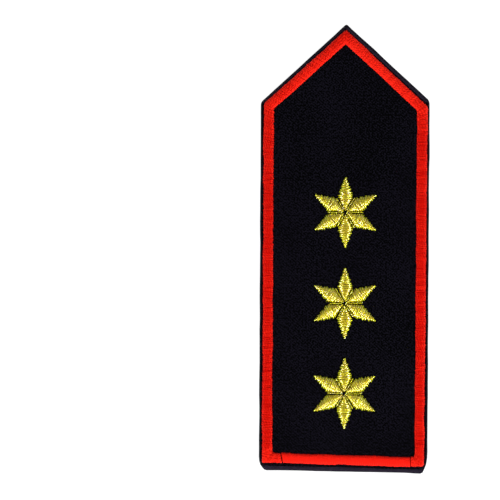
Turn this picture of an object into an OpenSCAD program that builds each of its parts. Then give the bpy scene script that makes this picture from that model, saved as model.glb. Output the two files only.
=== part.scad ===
// Slip-on shoulder board: black twill front with a red satin border and three gold six-pointed stars.
// It lies on its back. X runs across it, Y towards its point and Z up, away from the garment.
// The origin is in the middle of its underside. All lengths are in millimetres.

/* [Board] */
// Width across the two straight sides
board_w = 50; // [44:0.5:60]
// Length from the tip to the middle of the lower end
board_l = 132.4; // [110:0.2:160]
// Height of the pointed end, from the shoulders to the sharp corner of the tip
point_rise = 23; // [14:0.5:30]
// How much lower the lower end is at the right side than at the left side
end_drop = 0.7; // [0:0.1:3]
// Rounding of the tip
tip_r = 1; // [0.6:0.1:2]
// Rounding of the two shoulders
shoulder_r = 3; // [1:0.1:6]
// Rounding of the lower left corner
left_corner_r = 2.8; // [1.4:0.1:3]
// Rounding of the lower right corner
right_corner_r = 2.6; // [1.4:0.1:3]

/* [Cloth] */
// Thickness of the front panel with its interlining
front_t = 1.8; // [1:0.1:3]
// Thickness of the back panel
back_t = 1.1; // [1:0.1:2]
// Free height of the pocket for the garment's strap
pocket_h = 1.8; // [1:0.1:3]
// Width of the margins that are turned under at the sides and at the point
margin_w = 3.4; // [3.2:0.1:5]
// How far the back panel stays inside the outline
back_inset = 0.9; // [0.4:0.1:2]
// How much shorter the back panel is at the pocket's mouth
mouth_step = 1.6; // [0.5:0.1:4]
// Clearance between pieces that are sewn on each other
sewn_gap = 0.1; // [0.05:0.05:0.2]

/* [Red border] */
// Width of the satin-stitched border
border_w = 3; // [1.5:0.1:5]
// Height of the border above the front cloth
border_h = 0.55; // [0.3:0.05:1]
// Black cloth outside the border at the sides
side_rim = 0.75; // [0.4:0.05:2]
// Black cloth outside the border at the pointed end
point_rim = 1.3; // [0.4:0.05:2]
// Black cloth outside the border at the lower end
end_rim = 1.7; // [0.4:0.05:2.5]
// Length of the side border's return at the lower left corner, past its band up to the left slit
left_return = 3.05; // [1:0.05:8]
// Length of the side border's return at the lower right corner, past its band up to the right slit
right_return = 1.05; // [1:0.05:8]
// Width of the two slits that part the end border from the side border
slit_gap = 0.3; // [0.1:0.05:0.6]
// How far the left slit leans over the width of the border
left_lean = 0.75; // [0:0.05:1]
// How far the right slit leans over the width of the border
right_lean = 0; // [0:0.05:1]

/* [Stars] */
// Number of stars
star_count = 3; // [1:3]
// Distance between neighbouring star centres
star_pitch = 26.9; // [22:0.1:32]
// Height of the lowest star's centre above the lower end
star_foot = 22.8; // [18:0.1:30]
// How far the row of stars stands to the right of the middle
star_shift = 0.25; // [-1:0.05:1]
// Radius of a star at the tips of its rays
star_r = 10.5; // [8:0.1:11]
// Radius of a star at the notches between its rays
notch_r = 5.25; // [4:0.05:6]
// Height of the padded rays above the front cloth
star_h = 0.95; // [0.5:0.05:1.5]
// Gap between neighbouring rays
ray_gap = 0.36; // [0.2:0.02:0.6]
// Width of the blunt end of a ray
ray_tip_w = 0.8; // [0.4:0.1:1.5]

/* [Hidden] */
half_w = board_w / 2;
point_angle = atan(point_rise / half_w);
end_slant = atan(end_drop / board_w);

// The part's own reach along Y puts the origin in the middle of it
reach = board_l + (half_w - right_corner_r) * tan(end_slant);
tip_y = reach / 2;
sharp_tip_y = tip_y + tip_r * (1 / cos(point_angle) - 1);
end_y = tip_y - board_l;

// Heights of the layers, from the underside up
margin_z = back_t + sewn_gap;
front_z = margin_z + pocket_h;
face_z = front_z + front_t;
roll_h = (face_z - margin_z) / 2;
roll_z = (face_z + margin_z) / 2;
trim_z = face_z + sewn_gap / 2;

// The border starts this far inside the edge of the flat face
edge_land = 0.05;
side_roll = side_rim - edge_land;
point_roll = point_rim - edge_land;
end_roll = end_rim - edge_land;
least_r = 0.3;

// Steps of the round forms
corner_steps = 4;
roll_steps = 5;
dome_steps = 8;
ray_steps = 9;

ray_count = 6;
function ray_name(star, ray) = str("star_", star, "_ray_", ray);

// Corner numbers, anticlockwise from the lower left one
LOWER_LEFT = 0;
LOWER_RIGHT = 1;
RIGHT_SHOULDER = 2;
TIP = 3;
LEFT_SHOULDER = 4;
corner_r = [left_corner_r, right_corner_r, shoulder_r, tip_r, shoulder_r];

function end_line(x, inset) = end_y - x * tan(end_slant) + inset / cos(end_slant);
function point_line(x, inset) = sharp_tip_y - (abs(x) * point_rise / half_w) - inset / cos(point_angle);

// The five sharp corners of the outline, with each kind of edge moved in by its own amount
function corners(side, point, end) = let (x = half_w - side) [
    [-x, end_line(-x, end)],
    [x, end_line(x, end)],
    [x, point_line(x, point)],
    [0, point_line(0, point)],
    [-x, point_line(-x, point)]];

function unit(v) = v / norm(v);

// Points of an arc of radius r that rounds the corner p between its neighbours a and b
function rounded(a, p, b, r) = let (
    u = unit(a - p),
    v = unit(b - p),
    half = acos(u * v) / 2,
    centre = p + unit(u + v) * r / sin(half),
    start = p + u * r / tan(half),
    turn = 180 - 2 * half,
    from = atan2(start[1] - centre[1], start[0] - centre[0]))
    [for (i = [0:corner_steps])
        centre + r * [cos(from + turn * i / corner_steps), sin(from + turn * i / corner_steps)]];

// One arc for each corner of the outline, after moving its edges in
function arcs(side, point, end) = let (
    c = corners(side, point, end),
    less = [max(side, end), max(side, end), max(side, point), point, max(side, point)])
    [for (i = [0:4]) rounded(c[(i + 4) % 5], c[i], c[(i + 1) % 5], max(corner_r[i] - less[i], least_r))];

function joined(lists) = [for (l = lists) for (p = l) p];
function lifted(points, z) = [for (p = points) [p[0], p[1], z]];

// The rolled edge: at the angle a of the roll, the share by which it falls back, and the height
function roll_back(a) = 1 - cos(a);
function roll_height(a) = roll_z + roll_h * sin(a);
function roll_arcs(a) = arcs(side_roll * roll_back(a), point_roll * roll_back(a), end_roll * roll_back(a));

// A solid through equal loops of points that run anticlockwise, seen from the end of the row
module skin(loops) {
    n = len(loops[0]);
    last = len(loops) - 1;
    sides = [for (k = [0:last - 1], i = [0:n - 1]) let (j = (i + 1) % n)
        [k * n + i, (k + 1) * n + i, (k + 1) * n + j, k * n + j]];
    bottom = [for (i = [0:n - 1]) i];
    top = [for (i = [n - 1:-1:0]) last * n + i];
    polyhedron(points = joined(loops), faces = concat([bottom, top], sides), convexity = 6);
}

module front_panel() {
    start = asin((front_z - roll_z) / roll_h);
    color([0.05, 0.05, 0.07])
        skin([for (i = [0:roll_steps]) let (a = start + (90 - start) * i / roll_steps)
            lifted(joined(roll_arcs(a)), roll_height(a))]);
}

// A margin that is turned under along one edge, from the underside of the roll up to the front panel
module margin_bar(shape) {
    stop = asin((front_z - sewn_gap - roll_z) / roll_h);
    color([0.06, 0.06, 0.08])
        skin([for (i = [0:roll_steps]) let (a = -90 + (90 + stop) * i / roll_steps)
            lifted(margin_loop(shape, roll_arcs(a), end_roll * roll_back(a)), roll_height(a))]);
}

function part_of(list, first, last) = [for (i = [first:last]) list[i]];

// One layer of a margin: the rolled outline outside, a straight edge inside, and mitred ends that
// keep the sewing clearance from the mitre line. The side margins end at the pocket's mouth.
function margin_loop(shape, edge, end) = let (
    mid = corner_steps / 2,
    inner = corners(margin_w, margin_w, end),
    gap = sewn_gap)
    shape == "side_right" ? let (
        outer = concat(edge[LOWER_RIGHT], part_of(edge[RIGHT_SHOULDER], 0, mid)))
        mitred(outer, [inner[RIGHT_SHOULDER], inner[LOWER_RIGHT]], [0, -gap], [0, 0])
    : shape == "side_left" ? let (
        outer = concat(part_of(edge[LEFT_SHOULDER], mid, corner_steps), edge[LOWER_LEFT]))
        mitred(outer, [inner[LOWER_LEFT], inner[LEFT_SHOULDER]], [0, 0], [0, -gap])
    : shape == "point_right" ? let (
        outer = concat(part_of(edge[RIGHT_SHOULDER], mid, corner_steps), part_of(edge[TIP], 0, mid)))
        mitred(outer, [inner[TIP], inner[RIGHT_SHOULDER]], [gap, 0], [0, gap])
    : let (
        outer = concat(part_of(edge[TIP], mid, corner_steps), part_of(edge[LEFT_SHOULDER], 0, mid)))
        mitred(outer, [inner[LEFT_SHOULDER], inner[TIP]], [0, gap], [-gap, 0]);

// A loop of outer and inner points with its far end moved by far and its near end by near
function mitred(outer, inner, far, near) = let (n = len(outer)) concat(
    [outer[0] + near],
    part_of(outer, 1, n - 2),
    [outer[n - 1] + far, inner[0] + far, inner[1] + near]);

module back_panel() {
    color([0.08, 0.08, 0.1])
        linear_extrude(back_t)
            polygon(joined(arcs(back_inset, back_inset, mouth_step)));
}

// Height of the satin dome at the share u of its width
dome_lip = 0.25;
function dome(u) = border_h * (dome_lip + (1 - dome_lip) * sqrt(max(0, 1 - pow(2 * u - 1, 2))));

// Lines along the border at the share u of its width, from the left slit round the point to the right one
function border_arcs(u) = arcs(side_rim + border_w * u, point_rim + border_w * u, end_rim + border_w * u);
band_x = half_w - side_rim - border_w;
function slit_left_x(u) = -band_x + left_return + left_lean * (0.5 - u);
function slit_right_x(u) = band_x - right_return + right_lean * (u - 0.5);
function end_point(x, u) = [x, end_line(x, end_rim + border_w * u)];

function side_border_line(u) = let (a = border_arcs(u)) concat(
    [end_point(slit_right_x(u) + slit_gap / 2, u)],
    a[LOWER_RIGHT], a[RIGHT_SHOULDER], a[TIP], a[LEFT_SHOULDER], a[LOWER_LEFT],
    [end_point(slit_left_x(u) - slit_gap / 2, u)]);
function end_border_line(u) = [
    end_point(slit_left_x(u) + slit_gap / 2, u),
    end_point(slit_right_x(u) - slit_gap / 2, u)];

// A band with a flat base and a domed top, through lines that run along the border side by side
module band(lines) {
    steps = len(lines) - 1;
    loops = [for (j = [0:len(lines[0]) - 1]) concat(
        [for (k = [steps, 0]) [lines[k][j][0], lines[k][j][1], trim_z]],
        [for (k = [0:steps]) [lines[k][j][0], lines[k][j][1], trim_z + dome(k / steps)]])];
    color([0.85, 0.07, 0.05]) skin(loops);
}

module side_border() {
    band([for (k = [0:dome_steps]) side_border_line(k / dome_steps)]);
}

module end_border() {
    band([for (k = [0:dome_steps]) end_border_line(k / dome_steps)]);
}

// A ray is widest at its waist, between two notches, and its axis lies along +X until it is turned
ray_turn = 360 / ray_count;
waist = notch_r * cos(ray_turn / 2);
ray_half_w = notch_r * sin(ray_turn / 2) - ray_gap / 2;
ray_start = ray_gap / sin(ray_turn / 2) * 0.75;
function ray_width(r) = r < waist
    ? max(ray_gap / 4, ray_half_w * (r - ray_start / 2) / (waist - ray_start / 2))
    : ray_tip_w / 2 + (ray_half_w - ray_tip_w / 2) * (star_r - r) / (star_r - waist);
function ray_height(r) = star_h * (r < waist
    ? 0.45 + 0.55 * sqrt((r - ray_start) / (waist - ray_start))
    : 1 - 0.45 * pow((r - waist) / (star_r - waist), 1.5));
ray_lip = 0.12;

module star_ray(star, ray) {
    centre_y = end_y + star_foot + (star_count - star) * star_pitch;
    stations = [for (i = [0:ray_steps]) let (s = i / ray_steps) ray_start + (star_r - ray_start) * s];
    loops = [for (r = stations) let (w = ray_width(r), h = ray_height(r)) concat(
        [[r, w, 0], [r, -w, 0]],
        [for (k = [0:dome_steps]) let (a = 180 - 180 * k / dome_steps)
            [r, w * cos(a), ray_lip + (h - ray_lip) * sin(a)]])];
    color([0.85, 0.72, 0.2])
        translate([star_shift, centre_y, trim_z])
            rotate([0, 0, 90 - (ray - 1) * ray_turn])
                skin(loops);
}

front_panel();
margin_bar("side_left");  // side_margin_left
margin_bar("side_right");  // side_margin_right
margin_bar("point_left");  // point_margin_left
margin_bar("point_right");  // point_margin_right
back_panel();
side_border();
end_border();
for (star = [1:star_count], ray = [1:ray_count])
    star_ray(star, ray);
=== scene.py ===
# %% [markdown]
# # A slip-on shoulder board
# The object is a flat cloth sleeve that slides over a garment's shoulder strap. Black twill is wrapped
# over a stiff board and folded under at its edges, a plain cloth closes the back, and the face carries
# a red satin-stitched border and three six-pointed stars, padded and stitched in gold thread.
#
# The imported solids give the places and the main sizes. This lesson dresses them: each soft piece is
# modelled in the space of its solid, which is then replaced by it.

# %% Load the solids
import math

import bmesh
import bpy
import numpy as np
from mathutils import Matrix, Vector


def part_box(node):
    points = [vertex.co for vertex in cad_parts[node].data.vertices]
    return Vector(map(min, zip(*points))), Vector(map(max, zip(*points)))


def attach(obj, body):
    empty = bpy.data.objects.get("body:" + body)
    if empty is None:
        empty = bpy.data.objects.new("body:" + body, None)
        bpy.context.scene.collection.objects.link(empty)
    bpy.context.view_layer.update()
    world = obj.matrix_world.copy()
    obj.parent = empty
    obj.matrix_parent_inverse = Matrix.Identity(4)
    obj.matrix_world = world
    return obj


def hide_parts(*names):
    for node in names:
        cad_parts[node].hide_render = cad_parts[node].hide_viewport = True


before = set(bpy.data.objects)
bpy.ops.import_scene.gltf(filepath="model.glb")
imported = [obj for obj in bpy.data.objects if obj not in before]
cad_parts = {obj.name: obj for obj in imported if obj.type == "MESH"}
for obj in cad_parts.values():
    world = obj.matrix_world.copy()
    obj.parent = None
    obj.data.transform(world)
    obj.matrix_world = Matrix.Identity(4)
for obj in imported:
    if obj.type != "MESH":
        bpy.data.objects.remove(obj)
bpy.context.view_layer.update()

# %% [markdown]
# ## The board's own lines
# On a real board everything is set out from the cut edge: the border runs parallel to it, and the
# margins are folded along it. So the five edges are written once, as small functions of the inset,
# and the cloth, the seams and the stitches all ask them. Most sizes are read from the solids.

# %% Read the sizes from the solids
MM = 0.001
front_low, front_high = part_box("front_panel")
back_low, back_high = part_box("back_panel")
fold_low, fold_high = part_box("side_margin_left")

half_w, tip_y, face_z = front_high
pocket_z, fold_z = front_low.z, fold_low.z
fold_w = fold_high.x - fold_low.x
side_rim = half_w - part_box("side_border")[1].x

board_l = 132.4 * MM
point_rise = 23 * MM
tip_r = 1 * MM
end_drop = 0.7 * MM
end_rim = 1.7 * MM
band_w = 3 * MM

steep = math.hypot(1, point_rise / half_w)
sharp_tip_y = tip_y + tip_r * (steep - 1)
end_y = tip_y - board_l
print("half width", half_w, "tip", tip_y, "face", face_z, "side rim", side_rim)

# %% The outline and its insets
LOWER_LEFT, LOWER_RIGHT, RIGHT_SHOULDER, TIP, LEFT_SHOULDER = range(5)
shoulder_y = sharp_tip_y - point_rise
pattern = [(-half_w, end_y + end_drop / 2), (half_w, end_y - end_drop / 2), (half_w, shoulder_y),
           (0, sharp_tip_y), (-half_w, shoulder_y)]
# A sewn board strays a little from its pattern: this much at each corner, in mm.
strays = [(0.04, -0.24), (-0.03, -0.40), (0.06, 0.32), (0.27, -0.10), (0.03, -0.40)]
outline = [Vector((x + dx * MM, y + dy * MM)) for (x, y), (dx, dy) in zip(pattern, strays)]


def edges_of(shape):
    """Pairs of corners: the lower end, the right side, the right slope, the left slope, the left side."""
    return list(zip(shape, shape[1:] + shape[:1]))


def inset_shape(*insets):
    """The five corners after each edge is moved in, by one amount or by one at each of its ends."""
    lines = []
    for (a, b), inset in zip(edges_of(outline), insets):
        first, last = inset if isinstance(inset, tuple) else (inset, inset)
        ahead = (b - a).normalized()
        inward = Vector((-ahead.y, ahead.x))
        lines.append((a + inward * first, b + inward * last - a - inward * first))
    shape = []
    for k in range(5):
        (a, a_way), (b, b_way) = lines[k - 1], lines[k]
        shape.append(a + a_way * ((b - a).cross(b_way) / a_way.cross(b_way)))
    return shape


def rounded(shape, k, radius, steps=5):
    """Points of the arc that rounds one corner of a shape."""
    corner = shape[k]
    to_before, to_after = (shape[k - 1] - corner).normalized(), (shape[(k + 1) % 5] - corner).normalized()
    half = to_before.angle(to_after) / 2
    middle = corner + (to_before + to_after).normalized() * (radius / math.sin(half))
    spoke = corner + to_before * (radius / math.tan(half)) - middle
    return [middle + Matrix.Rotation((math.pi - 2 * half) * i / steps, 2) @ spoke for i in range(steps + 1)]


def area_of(shape):
    """Area of a shape with straight edges."""
    return sum(a.cross(b) for a, b in edges_of(shape)) / 2


print("corners in mm:", [[round(1000 * v, 1) for v in c] for c in outline])

# %% [markdown]
# ## Camera
# The board lies on a table and is seen from straight above through a long lens, a little turned. It
# stands right of the middle of the picture. The camera comes first, so that every test render shows
# the piece as it is judged.

# %% Place the camera
view_w = 0.1485
view_x, view_y = -28.03 * MM, -0.60 * MM
view_turn = math.radians(0.34)
lens, sensor = 400, 36


def add_object(name, data):
    """A new object in the scene."""
    made = bpy.data.objects.new(name, data)
    bpy.context.scene.collection.objects.link(made)
    return made


camera = add_object("camera", bpy.data.cameras.new("camera"))
camera.data.lens, camera.data.sensor_width = lens, sensor
camera.data.clip_start, camera.data.clip_end = 0.01, 20
camera.location = (view_x, view_y, face_z + view_w * lens / sensor)
camera.rotation_euler = (0, 0, view_turn)
bpy.context.scene.camera = camera
bpy.context.scene.view_settings.view_transform = "Standard"
print("camera height", round(camera.location.z, 4))

# %% [markdown]
# ## Shader helpers
# The sky, the table and the finishes are built from a few nodes each. Small helpers keep that readable:
# one adds a node and fills its inputs, and a signal is a socket that can be calculated with, so that a
# sum of sockets reads as a sum and adds its own Math nodes.

# %% Add and fill nodes
def fill(socket, value):
    """Gives a socket a plain value, or a link from another socket."""
    if isinstance(value, Signal):
        value = value.socket
    if isinstance(value, bpy.types.NodeSocket):
        socket.id_data.links.new(value, socket)
    else:
        socket.default_value = value


def fill_inputs(made, **inputs):
    """Fills a node's inputs by their names, with _ for a space."""
    for key, value in inputs.items():
        fill(made.inputs[key.replace("_", " ")], value)


def node(tree, kind, settings=None, **inputs):
    """A new node with its settings and its inputs."""
    made = tree.nodes.new(kind)
    for key, value in (settings or {}).items():
        setattr(made, key, value)
    fill_inputs(made, **inputs)
    return made


class Signal:
    """A socket to calculate with. Each step adds a Math node to the socket's own tree."""

    def __init__(self, socket):
        self.socket, self.id_data = socket, socket.id_data

    def math(self, operation, *others):
        """The result of a Math node on this signal and on other signals or numbers."""
        made = node(self.id_data, "ShaderNodeMath", {"operation": operation})
        for socket, value in zip(made.inputs, (self, *others)):
            fill(socket, value)
        return Signal(made.outputs[0])

    def __add__(self, other):
        return self.math("ADD", other)

    def __sub__(self, other):
        return self.math("SUBTRACT", other)

    def __mul__(self, other):
        return self.math("MULTIPLY", other)

    def __truediv__(self, other):
        return self.math("DIVIDE", other)


def split(vector):
    """The three parts of a vector socket as signals."""
    return [Signal(socket) for socket in node(vector.id_data, "ShaderNodeSeparateXYZ", Vector=vector).outputs]


def noise(place, scale, detail, dimensions="2D"):
    """A noise over a vector socket, as a signal between 0 and 1."""
    made = node(place.id_data, "ShaderNodeTexNoise", {"noise_dimensions": dimensions},
                Vector=place, Scale=scale, Detail=detail)
    return Signal(made.outputs["Fac"])


def blend_colours(tree, share, first, second):
    """A colour between two, by a share from 0 to 1."""
    mix = node(tree, "ShaderNodeMix", {"data_type": "RGBA"}, Factor=share, A=first, B=second)
    return mix.outputs["Result"]


def new_material(name, roughness, specular):
    """A node material, its tree and its Principled shader."""
    material = bpy.data.materials.new(name)
    material.use_nodes = True
    shader = material.node_tree.nodes["Principled BSDF"]
    fill_inputs(shader, Roughness=roughness, Specular_IOR_Level=specular)
    return material, material.node_tree, shader


# %% [markdown]
# ## Light
# Soft studio light: two large softboxes in front, one at each hand, and a weak one at the right, all
# low, over a white table. Nothing shines from straight above, so the flat black face stays deep while
# everything that curves up from it, thread or rolled edge, catches the light. Threads that run across
# a band shine on both its flanks and stay darker along its crown.

# %% Softboxes
def softbox(name, azimuth, size, power, elevation=30, distance=0.9):
    """A square area light that looks at the board. Azimuth 0 is the board's right, 90 its point."""
    turn, rise = math.radians(azimuth), math.radians(elevation)
    toward = Vector((math.cos(turn) * math.cos(rise), math.sin(turn) * math.cos(rise), math.sin(rise)))
    box = add_object(name, bpy.data.lights.new(name, "AREA"))
    box.data.shape, box.data.size, box.data.energy = "SQUARE", size, power
    box.location = toward * distance
    box.rotation_euler = toward.to_track_quat("Z", "Y").to_euler()
    print(name, "at", [round(v, 2) for v in box.location])


softbox("right_front_softbox", azimuth=-36, size=0.34, power=8.5)
softbox("left_front_softbox", azimuth=-138, size=0.34, power=8.0)
softbox("right_softbox", azimuth=12, size=0.40, power=1.0)

# %% Sky
# The sky lights the board from its bright horizon. The camera itself sees an even white.
world = bpy.data.worlds.new("studio")
bpy.context.scene.world = world
world.use_nodes = True
sky = world.node_tree
_, _, sky_height = split(node(sky, "ShaderNodeTexCoord").outputs["Generated"])
fade = node(sky, "ShaderNodeValToRGB", Fac=sky_height)
sky_tones = [(0.0, (0.60, 0.60, 0.62, 1)), (0.75, (0.10, 0.10, 0.11, 1))]
for stop, (position, tone) in zip(fade.color_ramp.elements, sky_tones):
    stop.position, stop.color = position, tone
seen = node(sky, "ShaderNodeLightPath").outputs["Is Camera Ray"]
sky_colour = blend_colours(sky, seen, fade.outputs["Color"], (0.90, 0.90, 0.91, 1))
fill_inputs(sky.nodes["Background"], Color=sky_colour)
print("sky nodes:", len(sky.nodes))

# %% Table
floor_z = -0.02 * MM
bpy.ops.object.select_all(action="DESELECT")
bpy.ops.mesh.primitive_plane_add(size=6, location=(0, 0, floor_z))
floor = bpy.context.object
floor.name = "table"
floor_material, floor_tree, floor_shader = new_material("white_table", roughness=0.9, specular=0.0)
fill_inputs(floor_shader, Base_Color=(0.20, 0.20, 0.20, 1), Emission_Color=(1, 1, 1, 1),
            Emission_Strength=0.94)
# From below the table is clear, so that the back of the board can be looked at too.
below = node(floor_tree, "ShaderNodeNewGeometry").outputs["Backfacing"]
either = node(floor_tree, "ShaderNodeMixShader", Fac=below)
fill(either.inputs[1], floor_shader.outputs["BSDF"])
fill(either.inputs[2], node(floor_tree, "ShaderNodeBsdfTransparent").outputs["BSDF"])
fill_inputs(floor_tree.nodes["Material Output"], Surface=either.outputs["Shader"])
floor.data.materials.append(floor_material)
print("table size", [round(s, 2) for s in floor.dimensions])

# %% [markdown]
# ## Helpers for modelling
# Every piece starts from a primitive and is shaped in edit mode. An operator acts on all that is
# selected, so a helper clears the selection before a primitive is added, and another one selects the
# vertices, edges or faces that pass a test on their middle. The others hold steps that come back often.

# %% Start, select and finish
def begin(add, **where):
    """Adds a primitive with nothing else selected, applies its place and returns it in edit mode."""
    bpy.ops.object.select_all(action="DESELECT")
    add(**where)
    bpy.ops.object.transform_apply(location=True, rotation=True, scale=True)
    bpy.ops.object.mode_set(mode="EDIT")
    return bpy.context.object


def middle_of(item):
    """The middle of a vertex, an edge or a face."""
    if isinstance(item, bmesh.types.BMVert):
        return item.co
    if isinstance(item, bmesh.types.BMEdge):
        return (item.verts[0].co + item.verts[1].co) / 2
    return item.calc_center_median()


def pick(piece, kind, test):
    """In edit mode, selects the items whose middle, and the item itself, pass the test."""
    bpy.ops.mesh.select_mode(type=kind)
    bpy.ops.mesh.select_all(action="DESELECT")
    mesh = bmesh.from_edit_mesh(piece.data)
    items = {"VERT": mesh.verts, "EDGE": mesh.edges, "FACE": mesh.faces}[kind]
    chosen = [item for item in items if test(middle_of(item), item)]
    for item in chosen:
        item.select_set(True)
    bmesh.update_edit_mesh(piece.data)
    return len(chosen)


def cut_across(place, outward, clear=True):
    """Cuts the whole form by a plane, and clears what lies on its outward side."""
    bpy.ops.mesh.select_all(action="SELECT")
    bpy.ops.mesh.bisect(plane_co=place, plane_no=outward, clear_outer=clear, threshold=1e-7)


def raise_by(height):
    """Extrudes the selected faces straight up or down."""
    bpy.ops.mesh.extrude_region_move(TRANSFORM_OT_translate={"value": (0, 0, height)})


def turn_outward():
    """Turns all faces of the form outwards."""
    bpy.ops.mesh.select_all(action="SELECT")
    bpy.ops.mesh.normals_make_consistent(inside=False)


def select_only(piece):
    """Leaves edit mode and selects one piece alone."""
    bpy.ops.object.mode_set(mode="OBJECT")
    bpy.ops.object.select_all(action="DESELECT")
    piece.select_set(True)
    bpy.context.view_layer.objects.active = piece


def finish(piece, name, material):
    """Names a cloth piece, gives it its finish and shades it, with its sharp edges kept."""
    select_only(piece)
    piece.name = piece.data.name = name
    piece.data.materials.clear()
    piece.data.materials.append(material)
    bpy.ops.object.shade_smooth_by_angle(angle=math.radians(40))
    print(name, "faces:", len(piece.data.polygons))


# %% [markdown]
# ## The twill
# Twill shows fine diagonal ribs, here running down to the right at 40 degrees and 0.68 mm apart. The
# ribs follow the cloth round the rolled edge, so the pattern reads the piece's own UV map, which is
# laid out in metres. A rib is a sine wave across its direction, crossed by a weaker wave for the yarns
# that pass over it. A fine noise breaks both up, and a slow one lets the dye and the nap vary.

# %% Weave group
RIB_PITCH, RIB_ANGLE = 0.68 * MM, math.radians(-40)


def new_group(name, outputs, **inputs):
    """A node group that takes a place and numbers, the signals inside it and the node of its outputs."""
    tree = bpy.data.node_groups.new(name, "ShaderNodeTree")
    tree.interface.new_socket("Place", in_out="INPUT", socket_type="NodeSocketVector")
    for title, value in inputs.items():
        title = title.replace("_", " ")
        tree.interface.new_socket(title, in_out="INPUT", socket_type="NodeSocketFloat").default_value = value
    for title in outputs:
        tree.interface.new_socket(title, in_out="OUTPUT", socket_type="NodeSocketFloat")
    start, end = tree.nodes.new("NodeGroupInput"), tree.nodes.new("NodeGroupOutput")
    return tree, [Signal(socket) for socket in start.outputs[:len(inputs) + 1]], end


weave, (place, rib_pitch, rib_angle, yarn_pitch, contrast), weave_out = new_group(
    "weave", ["Height", "Shade", "Wear"],
    Rib_pitch=RIB_PITCH, Rib_angle=RIB_ANGLE, Yarn_pitch=0.70 * MM, Contrast=1.0)
turned = node(weave, "ShaderNodeVectorRotate", {"rotation_type": "Z_AXIS"},
              Vector=place, Angle=rib_angle * -1)
along_rib, across_rib, _ = split(turned.outputs[0])
rib_turns = across_rib / rib_pitch
yarn_turns = along_rib / yarn_pitch
drift = noise(place, scale=320.0, detail=1.0) * 0.8
rib = (rib_turns * math.tau + drift).math("SINE")
yarn = (yarn_turns * math.tau - rib_turns).math("SINE")
relief = rib * 0.9 + yarn * 0.4
knobs = (noise(place, scale=1900.0, detail=1.0) - 0.5) * 6.5
patches = noise(place, scale=60.0, detail=3.0)
# The colour follows the relief, darker in the rib hollows: painted shade, on top of the bump. The knobs and
# the slow patches are random tone of yarn and dye.
shade = (relief * 0.45 + knobs + (patches - 0.5) * 1.5) * contrast + 0.45
fill_inputs(weave_out, Height=relief + knobs * 0.45, Shade=shade.math("MINIMUM", 1.0).math("MAXIMUM", 0.0),
            Wear=patches)
print("weave nodes:", len(weave.nodes))


# %% Cloth finishes
def cloth_material(name, dark, light, rib_pitch, rib_angle, depth, contrast):
    """A woven cloth: the colour runs from dark to light with the relief, painted shade in its hollows, and
    the relief bumps it.
    """
    material, tree, shader = new_material(name, roughness=0.8, specular=0.02)
    place = node(tree, "ShaderNodeUVMap", {"uv_map": "cloth"})
    cloth = node(tree, "ShaderNodeGroup", {"node_tree": weave}, Place=place.outputs["UV"],
                 Rib_pitch=rib_pitch, Rib_angle=rib_angle, Contrast=contrast)
    bump = node(tree, "ShaderNodeBump", Strength=1.0, Distance=depth, Height=cloth.outputs["Height"])
    woven = blend_colours(tree, cloth.outputs["Shade"], dark, light)
    fill_inputs(shader, Base_Color=woven, Roughness=Signal(cloth.outputs["Wear"]) * 0.25 + 0.7,
                Normal=bump.outputs["Normal"], Sheen_Weight=0.06, Sheen_Roughness=0.3,
                Sheen_Tint=(0.80, 0.72, 1.0, 1))
    return material, tree, shader, woven


black_twill, twill_tree, twill_shader, woven = cloth_material(
    "black_twill", (0.0001, 0.0001, 0.0003, 1), (0.0048, 0.0042, 0.0079, 1),
    rib_pitch=RIB_PITCH, rib_angle=RIB_ANGLE, depth=0.05 * MM, contrast=0.8)
back_cloth, *_ = cloth_material(
    "back_cloth", (0.0016, 0.0016, 0.0022, 1), (0.0110, 0.0110, 0.0150, 1),
    rib_pitch=0.9 * MM, rib_angle=math.radians(90), depth=0.06 * MM, contrast=0.8)

# %% Painted sheen on the rim
# Along the rim a lighter colour is painted in: painted sheen where the rolled edge catches the light, in
# random patches. The front carries an attribute that says where.
rim_sheen_mask = Signal(node(twill_tree, "ShaderNodeAttribute", {"attribute_name": "rim_sheen"}).outputs["Fac"])
on_piece = node(twill_tree, "ShaderNodeTexCoord").outputs["Object"]
rim_sheen = rim_sheen_mask * (noise(on_piece, scale=700.0, detail=2.0, dimensions="3D") * 1.2 + 0.30)
rim_sheen_colour = blend_colours(twill_tree, rim_sheen.math("MINIMUM", 1.0), woven, (0.0210, 0.0160, 0.0290, 1))
fill_inputs(twill_shader, Base_Color=rim_sheen_colour)
print("cloth finishes:", black_twill.name, back_cloth.name)

# %% [markdown]
# ## The wrapped front
# On the real board the twill is pulled over the stiff board, rolls round its edge and is folded under.
# At the lower end the fold stays open, and the strap goes in there. The form could be lofted from
# sections, but a maker starts from the flat cut: a plane, cut to the five edges, its corners rounded.
# It is then raised in small steps, each one scaled in a little, which rolls the edge. The scale differs
# along X and Y, so the roll is narrow at the sides and wide at the lower end, as it is in the photo.

# %% Cut a flat sheet to a shape
# Points are picked by their place, to within a hair.
hair = 0.01 * MM


def cut_sheet(z, shape):
    """A flat sheet cut to the given corners, in edit mode and selected."""
    sheet = begin(bpy.ops.mesh.primitive_plane_add, size=1.2 * board_l, location=(0, 0, z))
    for a, b in edges_of(shape):
        cut_across((*a, z), Vector((b.y - a.y, a.x - b.x, 0)).normalized())
    bpy.ops.mesh.select_all(action="SELECT")
    return sheet


def round_corners(sheet, shape, reaches):
    """Rounds corners of a flat sheet, each from its own distance along both of its edges."""
    for corner, reach in reaches:
        pick(sheet, "VERT", lambda at, v: (at.xy - shape[corner]).length < 5 * hair)
        bpy.ops.mesh.bevel(offset=reach * MM, segments=5, profile=0.5, affect="VERTICES")


def soften(offset):
    """Rounds the selected edges."""
    bpy.ops.mesh.bevel(offset=offset, segments=3, profile=0.5, affect="EDGES")


def cut_with(piece, cutter, operation):
    """Applies a Boolean of the cutter to the piece, and removes the cutter."""
    select_only(piece)
    cut = piece.modifiers.new("cut", "BOOLEAN")
    cut.operation, cut.solver, cut.object = operation, "EXACT", cutter
    bpy.ops.object.modifier_apply(modifier=cut.name)
    bpy.data.objects.remove(cutter)


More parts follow.
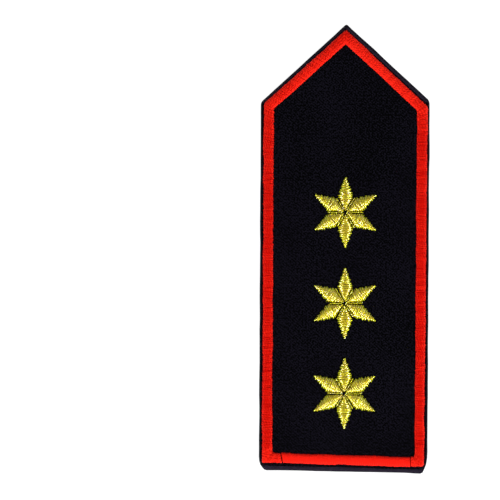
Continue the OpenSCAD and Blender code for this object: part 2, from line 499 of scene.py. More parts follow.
roll_z, roll_h = (face_z + fold_z) / 2, (face_z - fold_z) / 2
front = cut_sheet(roll_z, outline)
round_corners(front, outline, [(TIP, 0.45), (RIGHT_SHOULDER, 0.8), (LEFT_SHOULDER, 0.7),
                               (LOWER_LEFT, 2.3), (LOWER_RIGHT, 2.0)])
print("roll from", round(fold_z, 5), "to", round(face_z, 5))

# %% Draw the lower corners out along the sides
corner_reach = 2.6 * MM
for corner, draw in ((outline[LOWER_LEFT], 1.7), (outline[LOWER_RIGHT], 3.3)):
    found = pick(front, "VERT", lambda at, v: (at.xy - corner).length < corner_reach)
    bpy.ops.transform.resize(value=(1, draw, 1), center_override=(corner.x, corner.y, roll_z))
    print("corner points drawn out:", found)

# %% Roll the edge up to the face and down to the fold
ROLL_STEPS = 7
side_roll = 0.60 * MM
end_roll = 1.35 * MM


def roll(way):
    """Raises or lowers the selected face in steps along a quarter of a round, drawing it in."""
    back = height = 0.0
    for step in range(1, ROLL_STEPS + 1):
        angle = math.pi / 2 * step / ROLL_STEPS
        new_back, new_height = 1 - math.cos(angle), roll_h * math.sin(angle)
        raise_by(way * (new_height - height))
        value = ((half_w - side_roll * new_back) / (half_w - side_roll * back),
                 (tip_y - end_roll * new_back) / (tip_y - end_roll * back), 1)
        bpy.ops.transform.resize(value=value, center_override=(0, 0, roll_z))
        back, height = new_back, new_height


pick(front, "FACE", lambda at, f: True)
roll(1)
# A shallow groove lies between the rolled edge and the border, where the stitches pull the cloth down.
groove, fall, rise = 0.18 * MM, 0.12 * MM, 0.30 * MM
bpy.ops.mesh.inset(thickness=fall, depth=-groove)
bpy.ops.mesh.inset(thickness=rise, depth=groove)
pick(front, "FACE", lambda at, f: abs(at.z - roll_z) < hair and f.normal.z < -0.5)
roll(-1)
turn_outward()
bpy.ops.object.mode_set(mode="OBJECT")
print("rolled front, faces:", len(front.data.polygons))

# %% Open the pocket from below, and soften the lip of its mouth
spare = 1 * MM
pocket = cut_sheet(fold_z - spare, inset_shape(-3 * spare, *[fold_w] * 4))
raise_by(pocket_z - fold_z + spare)
turn_outward()
cut_with(front, pocket, "DIFFERENCE")
bpy.ops.object.mode_set(mode="EDIT")
lip = pick(front, "EDGE", lambda at, e: at.y < end_y + spare and abs(at.z - pocket_z) < 2 * hair
           and abs(at.x) < half_w - fold_w)
soften(0.5 * MM)
print("lip edges:", lip)

# %% [markdown]
# ## Cloth that isn't quite flat
# Real twill over a stiff board is nearly flat, but not as flat as glass: between the stars it sinks by
# a tenth of a millimetre or two, and its rolled edge wanders a little. A grid of cuts gives the mesh
# something to bend, and two Displace modifiers, each held to its own vertex group, bend it. Under the
# border and the stars the cloth stays where the needle holds it.

# %% Cut a grid through the cloth
grid_step = 3.2 * MM
for axis, reach in ((Vector((1, 0, 0)), half_w), (Vector((0, 1, 0)), board_l / 2)):
    count = int(2 * reach / grid_step)
    for i in range(1, count):
        cut_across(axis * (-reach + 2 * reach * i / count), axis, clear=False)
bpy.ops.object.mode_set(mode="OBJECT")
print("front, vertices:", len(front.data.vertices))

# %% Find the stars
STARS, RAYS = 3, 6
star_boxes = [[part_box(f"star_{s}_ray_{r}") for r in range(1, RAYS + 1)] for s in range(1, STARS + 1)]
star_centres = [Vector((sum(low.x + high.x for low, high in rays) / (2 * RAYS),
                        (rays[0][0].y + rays[3][1].y) / 2, rays[0][0].z)) for rays in star_boxes]
star_r = star_boxes[0][0][1].y - star_centres[0].y
print("star centres in mm:", [[round(1000 * k, 2) for k in c] for c in star_centres])

# %% Hold the cloth where it is sewn
# For each edge: how much painted sheen its rim gets, and between which depths in mm.
RIM_SHEEN = [(0.58, 0.2, 1.4), (0.1, 0.0, 0.5), (1.0, 0.45, 1.1), (0.8, 0.25, 0.7), (0.0, 0.0, 0.5)]
ease = 4 * MM
rolled_w = 0.5 * MM


def inward(at):
    """How far a place lies inside the nearest edge of the board, and which edge that is."""
    return min(((b - a).normalized().cross(at - a), k) for k, (a, b) in enumerate(edges_of(outline)))


open_face = front.vertex_groups.new(name="open_face")
rolled_edge = front.vertex_groups.new(name="rolled_edge")
rim_sheen_shares = np.zeros(len(front.data.vertices))
for v in front.data.vertices:
    depth, edge = inward(v.co.xy)
    from_star = min((v.co.xy - c.xy).length for c in star_centres) - star_r
    free = min(depth - end_rim - band_w, from_star) / ease
    if v.co.z > face_z - hair and free > 0:
        open_face.add([v.index], min(1.0, free), "REPLACE")
    if depth < rolled_w and v.co.z > roll_z - 0.5 * roll_h:
        rolled_edge.add([v.index], 1.0, "REPLACE")
    # The painted sheen on the rim: a share of lighter colour between the edge's two depths.
    share, near, far = RIM_SHEEN[edge]
    if v.co.z > roll_z + 0.2 * roll_h and near * MM < depth < far * MM:
        rim_sheen_shares[v.index] = share
front.data.attributes.new("rim_sheen", "FLOAT", "POINT").data.foreach_set("value", rim_sheen_shares)
print("rubbed points:", int((rim_sheen_shares > 0).sum()))


# %% Bend it
def wave(piece, name, group, size, strength, mid):
    """Moves a vertex group along its normals by a smooth cloud pattern."""
    clouds = bpy.data.textures.new(name, "CLOUDS")
    clouds.noise_scale = size
    push = piece.modifiers.new(name, "DISPLACE")
    push.texture, push.texture_coords = clouds, "LOCAL"
    push.vertex_group, push.strength, push.mid_level = group, strength, mid
    bpy.ops.object.modifier_apply(modifier=push.name)
    print(name, "size now, in mm:", [round(1000 * s, 2) for s in piece.dimensions])


wave(front, "sunk_cloth", "open_face", size=11 * MM, strength=0.28 * MM, mid=1.0)
wave(front, "wandering_edge", "rolled_edge", size=7 * MM, strength=0.30 * MM, mid=0.2)


# %% [markdown]
# ## Laying the weave on the cloth
# A UV map tells a pattern where it is on the flat cut. On the face it is simply the place itself. On
# the rolled edge the cloth goes down while the place stands still, so what it goes down is added to
# the outward side, and the ribs run over the edge as they do on folded cloth.

# %% Give a wrapped piece its UV map
def lay_cloth_map(piece, top_z):
    """Writes the UV map named cloth, in metres of flat cloth."""
    layer = piece.data.uv_layers.new(name="cloth")
    for face in piece.data.polygons:
        out = face.normal.xy
        out = out.normalized() if out.length > 0.2 else Vector((0, 0))
        for loop, vertex in zip(face.loop_indices, face.vertices):
            at = piece.data.vertices[vertex].co
            layer.data[loop].uv = at.xy + out * max(0.0, top_z - at.z)


lay_cloth_map(front, face_z)
finish(front, "front_cloth", black_twill)
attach(front, "root")
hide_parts("front_panel", "side_margin_left", "side_margin_right",
            "point_margin_left", "point_margin_right")
turning = fold_w + 2 * MM
area_of(inset_shape(*[-turning] * 5))

# %% [markdown]
# ## The back cloth
# The back of the pocket is one layer of plain cloth, set a little inside the outline, so that it never
# shows from the front. It is a flat cut, thickened, with its two rims softened by a bevel.

# %% Make the back cloth
back_inset = half_w - back_high.x
mouth_step = 1.6 * MM
back_shape = inset_shape(mouth_step, *[back_inset] * 4)
back = cut_sheet(back_low.z, back_shape)
round_corners(back, back_shape, [(TIP, 0.6), (RIGHT_SHOULDER, 1), (LEFT_SHOULDER, 1),
                                 (LOWER_LEFT, 1.6), (LOWER_RIGHT, 1.4)])
bpy.ops.mesh.select_all(action="SELECT")
raise_by(fold_z - back_low.z)
turn_outward()
pick(back, "EDGE", lambda at, e: abs(e.verts[0].co.z - e.verts[1].co.z) < hair)
soften(0.35 * MM)
bpy.ops.object.mode_set(mode="OBJECT")
lay_cloth_map(back, back_high.z)
finish(back, "back_cloth_panel", back_cloth)
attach(back, "root")
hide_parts("back_panel")
area_of(back_shape)

# %% [markdown]
# ## Thread finishes
# Satin thread shines because its fibres lie side by side. The fibres are a noise, drawn out along the
# thread, that reads the stitch's own UV map. The thread is two plies twisted together, so its shine is
# broken at every turn of the twist: the twist bumps the thread, and its turns are also painted lighter
# into the colour as painted glints, which gives a close satin stitch its grain. Each stitch also carries
# a random tint as an attribute, since no two catch the light alike. Red, gold and black share the group.

# %% Thread group
ply_length, ply_width = 0.80 * MM, 0.60 * MM
thread, (place, tint, fuzz, spread, twist_glint), thread_out = new_group(
    "thread", ["Height", "Share"], Tint=0.5, Fibre=0.4, Spread=0.6, Twist=0.3)
drawn_out = node(thread, "ShaderNodeMapping", Vector=place, Scale=(900.0, 9000.0, 1.0))
fibre = noise(drawn_out.outputs["Vector"], scale=1.0, detail=2.0) - 0.5
along_thread, across_thread, _ = split(place)
ply = ((along_thread / ply_length + across_thread / ply_width) * math.tau).math("SINE") * 0.5
# The ply's turns lighten the colour too: painted glints along each thread.
share = fibre * fuzz + 0.5 + ply * twist_glint + (tint - 0.5) * spread
fill_inputs(thread_out, Height=fibre * 0.7 + ply * 0.6,
            Share=share.math("MAXIMUM", 0.0).math("MINIMUM", 1.0))
print("thread nodes:", len(thread.nodes))


# %% Thread materials
def thread_material(name, dark, light, roughness, fibre, spread, twist_glint, depth, **looks):
    """A thread that runs from dark to light with its fibres, its tint and the painted glints of its twist."""
    material, tree, shader = new_material(name, roughness, specular=0.3)
    place = node(tree, "ShaderNodeUVMap", {"uv_map": "stitch"})
    tint = node(tree, "ShaderNodeAttribute", {"attribute_name": "tint"})
    yarn = node(tree, "ShaderNodeGroup", {"node_tree": thread}, Place=place.outputs["UV"],
                Tint=tint.outputs["Fac"], Fibre=fibre, Spread=spread, Twist=twist_glint)
    bump = node(tree, "ShaderNodeBump", Strength=0.8, Distance=depth * MM, Height=yarn.outputs["Height"])
    fill_inputs(shader, Base_Color=blend_colours(tree, yarn.outputs["Share"], dark, light),
                Normal=bump.outputs["Normal"], **looks)
    return material


RED_SHINE = (1.0, 0.025, 0.009, 1)
red_satin = thread_material(
    "red_satin", (0.42, 0.0004, 0.0002, 1), (0.94, 0.022, 0.009, 1),
    roughness=0.4, fibre=0.9, spread=0.8, twist_glint=0.9, depth=0.03, Specular_Tint=RED_SHINE)
# The end band's finish is lighter in its darker tones: painted light, where its threads catch the front
# light. Its thread is smoother too.
smooth_satin = thread_material(
    "smooth_red_satin", (0.60, 0.004, 0.0015, 1), (0.92, 0.018, 0.009, 1),
    roughness=0.4, fibre=0.4, spread=0.5, twist_glint=0.2, depth=0.01, Specular_Tint=RED_SHINE)
# A metal-coated film is wound round the gold thread: partly metal, and very glossy on top.
gold_thread = thread_material(
    "gold_thread", (0.61, 0.435, 0.0002, 1), (0.80, 0.83, 0.01, 1),
    roughness=0.44, fibre=1.0, spread=1.2, twist_glint=0.8, depth=0.04, Metallic=0.76,
    Specular_Tint=(1.0, 0.97, 0.02, 1), Coat_Weight=0.6, Coat_IOR=3.0, Coat_Roughness=0.12)
black_thread = thread_material(
    "black_thread", (0.002, 0.002, 0.003, 1), (0.012, 0.011, 0.016, 1),
    roughness=0.5, fibre=0.5, spread=0.6, twist_glint=0.4, depth=0.02)
print("thread finishes:", red_satin.name, gold_thread.name, black_thread.name)

# %% [markdown]
# ## One stitch
# A satin stitch is a thread that comes up at one edge, arches over and goes down at the other. It is
# modelled once: a ring, flattened because stitches press each other flat, is spun along an arc, and
# its ends are pushed down into the cloth. There are about two thousand stitches on the board, so the
# ring has six sides only, and the smooth shading does the rest.

# %% Spin a stitch
RING_SIDES = 6
tuck = 0.18 * MM


class StitchForm:
    """The points, faces and UV places of one stitch, read from its mesh."""

    def __init__(self, mesh, span, rise, full):
        self.span, self.rise = span, rise
        self.points = np.array([v.co for v in mesh.vertices])
        self.out = np.minimum(np.abs(self.points[:, 0]) / (span / 2), 1)
        above = self.points[:, 2] > 0
        self.points[above, 2] *= 1 + full * (self.out ** 2 / (1 + self.out))[above]
        self.faces = [list(f.vertices) for f in mesh.polygons]
        corner_points = np.array([self.points[i] for f in self.faces for i in f])
        self.places = corner_points[:, :2] + np.array([span / 2, 0])


def spin_stitch(span, rise, wide, thick, steps, full=0.0):
    """Makes a stitch that arches over span with its crown at rise, and returns its form. Full 0 is an
    arc of a circle, full 1 is flat on top and steep at both ends. All sizes are in mm."""
    span, rise = span * MM, rise * MM
    radius = (span ** 2 / 4 + rise ** 2) / (2 * rise)
    half = math.asin(span / 2 / radius)
    ring = begin(bpy.ops.mesh.primitive_circle_add, vertices=RING_SIDES, radius=0.5, fill_type="NOTHING")
    bpy.ops.transform.resize(value=(thick * MM, wide * MM, 1), center_override=(0, 0, 0))
    bpy.ops.object.mode_set(mode="OBJECT")
    ring.rotation_euler = (0, math.pi / 2 - half, 0)
    ring.location = (-span / 2, 0, 0)
    bpy.ops.object.transform_apply(location=True, rotation=True, scale=True)
    bpy.ops.object.mode_set(mode="EDIT")
    bpy.ops.mesh.select_all(action="SELECT")
    bpy.ops.mesh.spin(steps=steps, angle=2 * half, center=(0, 0, rise - radius), axis=(0, -1, 0))
    for side in (-1, 1):
        pick(ring, "EDGE", lambda at, e: e.is_boundary and at.x * side > 0)
        bpy.ops.mesh.extrude_edges_move(TRANSFORM_OT_translate={"value": (0.25 * side * tuck, 0, -tuck)})
    bpy.ops.mesh.select_all(action="SELECT")
    bpy.ops.mesh.fill_holes(sides=0)
    turn_outward()
    bpy.ops.object.mode_set(mode="OBJECT")
    form = StitchForm(ring.data, span, rise, full)
    bpy.data.objects.remove(ring)
    size = form.points.max(0) - form.points.min(0)
    print("stitch: faces", len(form.faces), "size in mm", [round(1000 * s, 2) for s in size])
    return form


satin_stitch = spin_stitch(span=3.0, rise=0.46, wide=0.42, thick=0.15, steps=9, full=1.0)
padded_stitch = spin_stitch(span=3.6, rise=0.75, wide=0.44, thick=0.20, steps=7, full=0.7)
running_stitch = spin_stitch(span=1.8, rise=0.16, wide=0.24, thick=0.22, steps=5)
seam_stitch = spin_stitch(span=1.3, rise=0.22, wide=0.24, thick=0.20, steps=5)

# %% [markdown]
# ## Many stitches
# The machine repeats the stitch by the hundred. Hundreds of separate objects would be slow, so the
# copies of one area are written into one joined mesh: each copy is the same form, stretched to reach
# from its own start to its own end, and set upright. Every copy keeps its own faces and its own tint.

# %% Join the copies
class Stitches:
    """A list of stitches, each from a start to an end, with its own height, width, lean, skew and tint,
    and with how much painted highlight pales it where it dives into the cloth."""

    def __init__(self):
        self.rows = []

    def add(self, start, end, height, width=1.0, lean=0.0, skew=0.0, tint=0.5, end_highlight=0.0):
        self.rows.append([*start, *end, height, width, lean, skew, tint, end_highlight])

    def mesh_parts(self, form):
        """Points, faces, UV places and tints of all copies."""
        rows = np.array(self.rows)
        start, end = rows[:, 0:3], rows[:, 3:6]
        height, width, lean, skew, tint, end_highlight = rows[:, 6:].T[..., None]
        reach = np.linalg.norm(end - start, axis=1)[:, None]
        ahead = (end - start) / reach
        aside = np.cross([0, 0, 1.0], ahead)
        aside /= np.linalg.norm(aside, axis=1)[:, None]
        above = np.cross(ahead, aside)
        x, y, z = form.points.T
        z = z * (height / form.rise)
        x = x * (reach / form.span) + z * skew
        y = y * width + z * lean
        points = ((start + end) / 2)[:, None]
        for amount, way in ((x, ahead), (y, aside), (z, above)):
            points = points + amount[..., None] * way[:, None]
        per = len(form.points)
        faces = [[i + per * k for i in f] for k in range(len(rows)) for f in form.faces]
        shifts = np.random.default_rng(len(rows)).uniform(0, 0.08, (len(rows), 2))
        places = np.concatenate([form.places + shift for shift in shifts])
        return points.reshape(-1, 3), faces, places, (tint + end_highlight * form.out ** 4).ravel()


def sew(name, material, parts, replaced=()):
    """One piece from several mesh parts: points, faces, UV places and tints."""
    points, part_faces, places, tints = zip(*parts)
    faces, count = [], 0
    for own_points, own_faces in zip(points, part_faces):
        faces += [[i + count for i in f] for f in own_faces]
        count += len(own_points)
    mesh = bpy.data.meshes.new(name)
    mesh.from_pydata(np.concatenate(points).tolist(), [], faces)
    mesh.uv_layers.new(name="stitch").data.foreach_set("uv", np.concatenate(places).ravel())
    mesh.attributes.new("tint", "FLOAT", "POINT").data.foreach_set("value", np.concatenate(tints))
    mesh.materials.append(material)
    mesh.shade_smooth()
    piece = add_object(name, mesh)
    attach(piece, "root")
    if replaced:
        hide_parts(*replaced)
    print(name, "stitched faces:", len(faces))


def part_of(piece, tint):
    """A modelled mesh as a part to sew in, with its UV places from above. The piece is used up."""
    mesh = piece.data
    points = np.array([v.co for v in mesh.vertices])
    faces = [list(f.vertices) for f in mesh.polygons]
    places = np.array([points[i][:2] for f in faces for i in f])
    bpy.data.objects.remove(piece)
    return points, faces, places, np.full(len(points), tint)


# %% [markdown]
# ## The red border
# The border is a satin column 3 mm wide. Its threads run across the band, square to it along the
# sides. On the left slope they lie flatter, and at the corners they fan. An embroiderer sets this with
# angle lines, and so does this cell: each guide is a place on the column's middle line with the angle
# of the thread there, and between two guides both rails are shared out evenly.

# %% The column's rails
# How far the band's two lines lie inside the outline, at the first and at the last end of each edge, in mm.
OUTER_INSETS = [(2.24, 1.84), (0.94, 0.50), (1.65, 1.20), (0.96, 0.80), (0.76, 0.80)]
INNER_INSETS = [(5.32, 4.92), (3.86, 3.72), (4.68, 4.51), (4.28, 4.02), (3.84, 3.86)]
# The radii at the lower left, the lower right, the right shoulder, the tip and the left shoulder, in mm.
OUTER_RADII, INNER_RADII = [0.3, 0.5, 1.6, 0.06, 1.6], [0.25] * 5
end_inset = 0.13 * MM
corner_lift = 0.28 * MM
slit_gap = 0.37 * MM
thread_w = 0.40 * MM


def band_shape(share):
    """The five corners of the line at a share of the band's width, from 0 outside to 1 inside."""
    return inset_shape(*(((a + share * (c - a)) * MM, (b + share * (d - b)) * MM)
                         for (a, b), (c, d) in zip(OUTER_INSETS, INNER_INSETS)))


def slit_x(which, share):
    """Place of a slit at a share of the band's width. The left one leans, the right one is bowed."""
    inner_x = half_w - side_rim - band_w
    if which == "left":
        return -inner_x + 2.96 * MM + 0.75 * MM * (0.5 - share)
    return inner_x - 1.05 * MM + 0.45 * MM * (4 * share * (1 - share) - 0.5)


def slit_point(which, share):
    """Where a slit meets the line at a share of the band's width."""
    shape = band_shape(share)
    a, b = shape[LOWER_LEFT], shape[LOWER_RIGHT]
    return a.lerp(b, (slit_x(which, share) - a.x) / (b.x - a.x))


def band_rail(share, radii):
    """The line at a share of the band's width, from the right slit round the point to the left slit."""
    shape = band_shape(share)
    shape[LOWER_RIGHT].y += (1 - share) * corner_lift
    line = [slit_point("right", share)]
    for k in (LOWER_RIGHT, RIGHT_SHOULDER, TIP, LEFT_SHOULDER, LOWER_LEFT):
        line += rounded(shape, k, radii[k] * MM)
    return line + [slit_point("left", share)]


OUT_SHARE, IN_SHARE = end_inset / band_w, 1 - end_inset / band_w
outer_rail, inner_rail = band_rail(OUT_SHARE, OUTER_RADII), band_rail(IN_SHARE, INNER_RADII)
print("rail points:", len(outer_rail), len(inner_rail))


# %% Walk along a rail, and find where a thread line crosses it
def directions(angle):
    """The direction at an angle in the plane, and the one across it to its left."""
    cos, sin = math.cos(angle), math.sin(angle)
    return Vector((cos, sin, 0)), Vector((-sin, cos, 0))


class Rail:
    """A line of points that can be walked by its length."""

    def __init__(self, points):
        self.points = points
        steps = [(b - a).length for a, b in zip(points, points[1:])]
        self.lengths = np.concatenate([[0], np.cumsum(steps)])

    def at(self, length):
        """The point at a length along the rail."""
        x = np.interp(length, self.lengths, [p.x for p in self.points])
        y = np.interp(length, self.lengths, [p.y for p in self.points])
        return Vector((x, y))

    def crossing(self, spot, angle):
        """The length at which the line through a spot crosses the rail, nearest to the spot."""
        across = directions(angle)[1].xy
        best, found = math.inf, 0.0
        for i, (a, b) in enumerate(zip(self.points, self.points[1:])):
            da, db = (a - spot).dot(across), (b - spot).dot(across)
            if (da <= 0) != (db <= 0):
                share = da / (da - db)
                distance = (a.lerp(b, share) - spot).length
                if distance < best:
                    best, found = distance, self.lengths[i] + share * (b - a).length
        return found


outer, inner = Rail(outer_rail), Rail(inner_rail)
print("rail lengths in mm:", round(1000 * outer.lengths[-1], 1), round(1000 * inner.lengths[-1], 1))

# %% The angle lines
SPACING = 0.28 * MM
# Each edge, named by the corner where it starts, has its guides: how far past that corner in mm (or, if
# negative, how far before the next), the angle from the thread's inner to its outer end, and the tint,
# which is painted light: lighter on the slopes, the right one most, where the threads catch the front
# light, and darker along the sides.
ANGLE_LINES = [
    (LOWER_RIGHT, [(0, -45, 0.35), (4, -2, 0.08), (-7, 0, 0.08)]),
    (RIGHT_SHOULDER, [(0, 24, 0.45), (6, 46, 0.74), (-4, 52, 0.74)]),
    (TIP, [(0, 92, 0.30), (5, 138, 0.45), (12, 150, 0.50), (-3, 148, 0.50)]),
    (LEFT_SHOULDER, [(0, 150, 0.38), (8, 163, 0.12), (20, 179, 0.08), (-4, 182, 0.08)]),
    (LOWER_LEFT, [(0, 225, 0.35)]),
]
middle = band_shape(0.5)
# A guide is a pair of lengths, on the outer and on the inner rail, that a thread joins, and its tint of
# painted light.
clear = (slit_gap + thread_w - SPACING) / 2
guides = [(clear, clear, 0.55)]
for k, lines in ANGLE_LINES:
    a, b = middle[k], middle[(k + 1) % 5]
    for distance, degrees, tint in lines:
        spot = (a if distance >= 0 else b) + (b - a).normalized() * distance * MM
        angle = math.radians(degrees)
        guides.append((outer.crossing(spot, angle), inner.crossing(spot, angle), tint))
guides.append((outer.lengths[-1] - clear, inner.lengths[-1] - clear, 0.50))
print("guides in mm:", [(round(1000 * a, 1), round(1000 * b, 1)) for a, b, _ in guides])

# %% [markdown]
# ## Sewing the column
# Threads lie 0.28 mm apart and zigzag, so every second one leans the other way. Hand and machine are
# never exact: each end strays by some hundredths of a millimetre, and the tint changes from stitch to
# stitch and, more slowly, along the band. The random draws have a fixed seed.

# %% Threads between two rails
CROWN = 0.46 * MM
sewn_z = face_z + 0.03 * MM
dice = np.random.default_rng(11)
slow_tint = dice.uniform(-1, 1, 400)
slow_step = 1.7 * MM
knots = np.arange(0, 0.35, 4.5 * MM)
outer_drift, inner_drift = dice.normal(0, 0.07, (2, len(knots))) * MM


def satin(outer, inner, guides, unrest, end_highlight):
    """The zigzag threads between two rails. Unrest 1 is a lively column, 0 a perfect one."""
    stitches, number = Stitches(), 0
    for (outer_a, inner_a, tint_a), (outer_b, inner_b, tint_b) in zip(guides, guides[1:]):
        count = max(1, round(max(abs(outer_b - outer_a), abs(inner_b - inner_a)) / SPACING))
        for k in range(count):
            lean = 0.25 if number % 2 else -0.25
            outer_at = outer_a + (outer_b - outer_a) * (k + 0.5 + lean) / count
            inner_at = inner_a + (inner_b - inner_a) * (k + 0.5 - lean) / count
            end, start = outer.at(outer_at), inner.at(inner_at)
            ahead = (end - start).normalized()
            end += ahead * (dice.normal(0, 0.05) * MM + np.interp(outer_at, knots, outer_drift))
            start += ahead * (dice.normal(0, 0.05) * MM + np.interp(outer_at, knots, inner_drift))
            tint = slow_tint[int(outer_at / slow_step) % 400] * 0.08 + dice.normal(0, 0.13)
            stitches.add((*start, sewn_z), (*end, sewn_z), CROWN * (1 + dice.normal(0, 0.06) * unrest),
                         width=1 + dice.normal(0, 0.06) * unrest, lean=dice.normal(0, 0.07) * unrest,
                         skew=dice.normal(0, 0.16) * unrest,
                         tint=tint_a + (tint_b - tint_a) * k / count + tint * unrest, end_highlight=end_highlight)
            number += 1
    return stitches.mesh_parts(satin_stitch)


# %% The firm core under the threads
CORE_SHARES = [0.16, 0.28, 0.40, 0.60, 0.72, 0.84]
core_rise = 0.30 * MM
core_sunk = 0.05 * MM
core_gap = 0.25 * MM
block_l, block_h = 15 * MM, 4 * MM
# The core is tinted darker than any thread: painted shade, dark where it shows in the slits and between the
# threads.
core_shade_tint = -0.3


def band_core():
    """A low closed ridge under the satin: the flat cut, inset in steps that rise and fall again."""
    first, last = CORE_SHARES[0], CORE_SHARES[-1]
    ridge = cut_sheet(face_z - core_sunk, band_shape(first))
    raise_by(2 * core_sunk)
    level = 0.0
    for before, share in zip(CORE_SHARES, CORE_SHARES[1:]):
        height = core_rise * math.sin(math.pi * (share - first) / (last - first))
        bpy.ops.mesh.inset(thickness=(share - before) * band_w, depth=height - level)
        level = height
    bpy.ops.mesh.delete(type="FACE")
    pick(ridge, "FACE", lambda at, f: f.normal.z < -0.9)
    bpy.ops.mesh.inset(thickness=(last - first) * band_w, depth=0)
    bpy.ops.mesh.delete(type="FACE")
    pick(ridge, "EDGE", lambda at, e: e.is_boundary)
    bpy.ops.mesh.bridge_edge_loops()
    turn_outward()
    bpy.ops.object.mode_set(mode="OBJECT")
    return ridge


def end_block(gap):
    """A block over the lower end between the two slits, each side moved in by the gap."""
    left, right = slit_x("left", 0.5) + gap, slit_x("right", 0.5) - gap
    place = ((left + right) / 2, end_y, face_z)
    block = begin(bpy.ops.mesh.primitive_cube_add, size=1, location=place)
    bpy.ops.transform.resize(value=(right - left, block_l, block_h), center_override=place)
    return block


side_core, end_core = band_core(), band_core()
cut_with(side_core, end_block(-core_gap), "DIFFERENCE")
cut_with(end_core, end_block(core_gap), "INTERSECT")
print("core faces:", len(side_core.data.polygons), len(end_core.data.polygons))

# %% Sew the side border
side_threads = satin(outer, inner, guides, unrest=1.0, end_highlight=0.5)
sew("side_border_satin", red_satin,
    [part_of(side_core, core_shade_tint), side_threads], ["side_border"])

# %% Sew the end border
# The end band's tint is higher than the sides': painted light, where its threads catch the front light.
END_TINT = 0.6
end_outer, end_inner = [Rail([slit_point("left", share), slit_point("right", share)])
                        for share in (OUT_SHARE, IN_SHARE)]
end_guides = [(clear, clear, END_TINT),
              (end_outer.lengths[-1] - clear, end_inner.lengths[-1] - clear, END_TINT)]
end_threads = satin(end_outer, end_inner, end_guides, unrest=0.4, end_highlight=0.6)
sew("end_border_satin", smooth_satin,
    [part_of(end_core, core_shade_tint), end_threads], ["end_border"])

# %% [markdown]
# ## The stars
# Each star has six rays, and each ray is a padded satin leaf: a core of padding, widest at the notch,
# with threads laid across it. They lie as close as the border's and lean to and fro, and their ends
# stop short in turn, which gives the serrated edge. One ray's core is modelled once, along its own
# axis, and copied round; the threads are then sewn ray by ray, each with its own small errors.

# %% The padding of one ray
gap_inner, gap_outer = 0.26 * MM, 0.47 * MM
waist = 4.55 * MM
ray_tip = 10.22 * MM
ray_tip_w = 0.18 * MM
ray_start = 0.74 * MM
ray_crown = 0.90 * MM
half_share = math.radians(180 / RAYS)
waist_w = (waist / 2 - gap_outer) / math.cos(half_share)
# The core is a little narrower and shorter than the leaf, and each of its steps rises and draws in.
CORE_WIDTH, core_short = 0.92, 0.3 * MM
CORE_STEPS = [(0.08, 1.0), (0.16, 0.8), (0.14, 0.6)]


def ray_width(r):
    """Half width of the leaf at the distance r from the star's centre."""
    if r < waist:
        gap_half = gap_inner + (gap_outer - gap_inner) * r / waist
        return (r / 2 - gap_half) / math.cos(half_share)
    return ray_tip_w + (waist_w - ray_tip_w) * (ray_tip - r) / (ray_tip - waist)


def ray_height(r):
    """Height of the leaf's ridge at the distance r."""
    if r < waist:
        return ray_crown * (0.42 + 0.58 * math.sqrt(max(0.0, (r - ray_start) / (waist - ray_start))))
    return ray_crown * (1 - 0.66 * (r - waist) / (ray_tip - waist))


def ray_padding():
    """The leaf's core, lying along +X from the centre: a plane cut to a kite, raised and drawn in."""
    heart = ((ray_start + ray_tip) / 2, 0, 0)
    leaf = begin(bpy.ops.mesh.primitive_plane_add, size=2 * ray_tip, location=heart)
    tail, nose = Vector((waist - ray_start, waist_w)), Vector((ray_tip - waist, ray_tip_w - waist_w))
    for side in (-1, 1):
        for way in (tail, nose):
            outward = Vector((-way.y, side * way.x, 0)).normalized()
            cut_across((waist, side * CORE_WIDTH * waist_w, 0), outward)
    cut_across((ray_tip - core_short, 0, 0), (1, 0, 0))
    bpy.ops.mesh.select_all(action="SELECT")
    for height, drawn_in in CORE_STEPS:
        raise_by(height * MM)
        bpy.ops.transform.resize(value=(0.5 + drawn_in / 2, drawn_in, 1), center_override=(waist, 0, 0))
    turn_outward()
    bpy.ops.object.mode_set(mode="OBJECT")
    return leaf


padding_points, padding_faces, _, padding_tints = part_of(ray_padding(), 0.2)
print("padding points:", len(padding_points))

# %% Sew the rays
# How far each embroidered star lies above the middle of its solids, in mm.
STAR_LIFTS = [0.15, 0.08, 0.17]
# Threads end a little further in or out in turn, by this much in mm.
TEETH = [-0.16, 0.24, -0.02]
star_dice = np.random.default_rng(29)
star_places = [Vector((c.x, c.y + lift * MM, face_z)) for c, lift in zip(star_centres, STAR_LIFTS)]


def sew_ray(star, ray):
    """One ray: its padding, turned and moved to its place, and its threads."""
    centre = star_places[star - 1]
    angle = math.radians(90 - 60 * (ray - 1))
    along, across = directions(angle)
    turn = np.array(Matrix.Rotation(angle, 3, "Z"))
    points = padding_points @ turn.T + np.array(centre)
    places = np.array([points[i][:2] for f in padding_faces for i in f])
    stitches = Stitches()
    count = round((ray_tip - ray_start) / SPACING)
    for k in range(count + 1):
        r = ray_start + (ray_tip - ray_start) * k / count
        lean = (0.5 if k % 2 else -0.5) * SPACING
        tooth = TEETH[k % 3] * MM * min(1.0, 0.2 + (ray_tip - r) / (3 * MM))
        tooth *= 1.0 if r > waist else 0.3
        left = ray_width(r) + tooth + star_dice.normal(0, 0.06) * MM
        right = ray_width(r) + tooth + star_dice.normal(0, 0.06) * MM
        start = centre + along * (r - lean) - across * right
        end = centre + along * (r + lean) + across * left
        # Each thread is paler towards its ends, most beyond the waist: painted highlight where the flanks
        # catch the front light. The last two threads at the tip are painted pale all over, as its highlight.
        tint = 0.28 + star_dice.normal(0, 0.2)
        if k >= count - 1:
            tint = 1.0
        stitches.add(start, end, ray_height(r) * (1 + star_dice.normal(0, 0.05)),
                     width=1 + star_dice.normal(0, 0.08), lean=star_dice.normal(0, 0.10),
                     skew=star_dice.normal(0, 0.14), tint=tint, end_highlight=1.4 if r > waist else 0.2)
    sew(f"star_{star}_ray_{ray}_satin", gold_thread,
        [(points, padding_faces, places, padding_tints), stitches.mesh_parts(padded_stitch)],
        [f"star_{star}_ray_{ray}"])


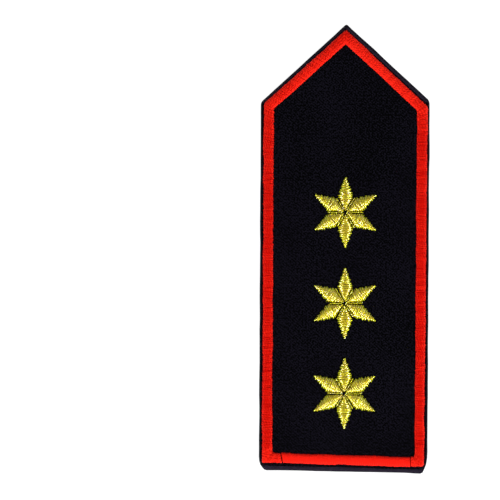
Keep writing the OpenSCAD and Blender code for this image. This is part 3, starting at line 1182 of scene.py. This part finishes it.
for star in range(1, STARS + 1):
    for ray in range(1, RAYS + 1):
        sew_ray(star, ray)

# %% [markdown]
# ## The running threads
# Between the rays the machine has travelled from leaf to leaf, and its thread lies in the gap as short
# running stitches. They are thin and low, a little to one side of the gap, and no two are alike. A
# last stitch crosses the star's middle.

# %% Sew the running threads
gap_from, gap_to, last_end = 0.95 * MM, 4.6 * MM, 5.2 * MM
crossing_half = 0.6 * MM
crossing_offset = Vector((0.55, 0.15, 0.24)) * MM
running_lift = Vector((0, 0, 0.22)) * MM


def sew_running(star):
    """The travelling thread in the six gaps of one star."""
    centre = star_places[star - 1]
    stitches = Stitches()
    along, _ = directions(math.radians(star_dice.uniform(40, 75)))
    base = centre + crossing_offset
    stitches.add(base - along * crossing_half, base + along * crossing_half, 0.12 * MM, tint=0.9)
    for gap in range(RAYS):
        along, across = directions(math.radians(60 * gap + star_dice.normal(0, 0.8)))
        aside = star_dice.uniform(-0.1, 0.1) * MM
        r = gap_from
        while r < gap_to:
            length = star_dice.uniform(1.0, 1.8) * MM
            base = centre + running_lift + across * aside
            stitches.add(base + along * r, base + along * min(r + length, last_end), 0.16 * MM,
                         lean=star_dice.normal(0, 0.2), tint=0.6 + star_dice.normal(0, 0.15))
            aside += star_dice.normal(0, 0.05) * MM
            r += length * 1.14
    sew(f"star_{star}_running_thread", gold_thread, [stitches.mesh_parts(running_stitch)])


for star in range(1, STARS + 1):
    sew_running(star)

# %% [markdown]
# ## The seam of the back
# The back cloth is felled to the folded margins with small slanted stitches in black thread, two and a
# half millimetres apart, along both sides and round the point. The mouth stays open.

# %% Sew the seam
seam_step, seam_slant = 2.5 * MM, 0.45 * MM
seam_in, seam_out = 0.15 * MM, 0.28 * MM
back_z, margin_z = 0.62 * MM, 1.25 * MM
seam_dice = np.random.default_rng(5)


def seam_line():
    """The back cloth's rim, from the lower right corner round the point to the lower left one."""
    shape = inset_shape(mouth_step + 3 * MM, *[back_inset] * 4)
    line = [shape[LOWER_RIGHT]]
    for k in (RIGHT_SHOULDER, TIP, LEFT_SHOULDER):
        line += rounded(shape, k, 1 * MM)
    return line + [shape[LOWER_LEFT]]


seam = Rail(seam_line())
seam_stitches = Stitches()
for k in range(int(seam.lengths[-1] / seam_step)):
    at = seam.at((k + 0.5) * seam_step)
    ahead = (seam.at((k + 0.5) * seam_step + 0.1 * MM) - at).normalized()
    outward = Vector((ahead.y, -ahead.x))
    start, end = at - outward * seam_in - ahead * seam_slant, at + outward * seam_out + ahead * seam_slant
    seam_stitches.add((*start, back_z), (*end, margin_z), 0.2 * MM, tint=0.5 + seam_dice.normal(0, 0.15))
sew("back_seam_stitches", black_thread, [seam_stitches.mesh_parts(seam_stitch)])
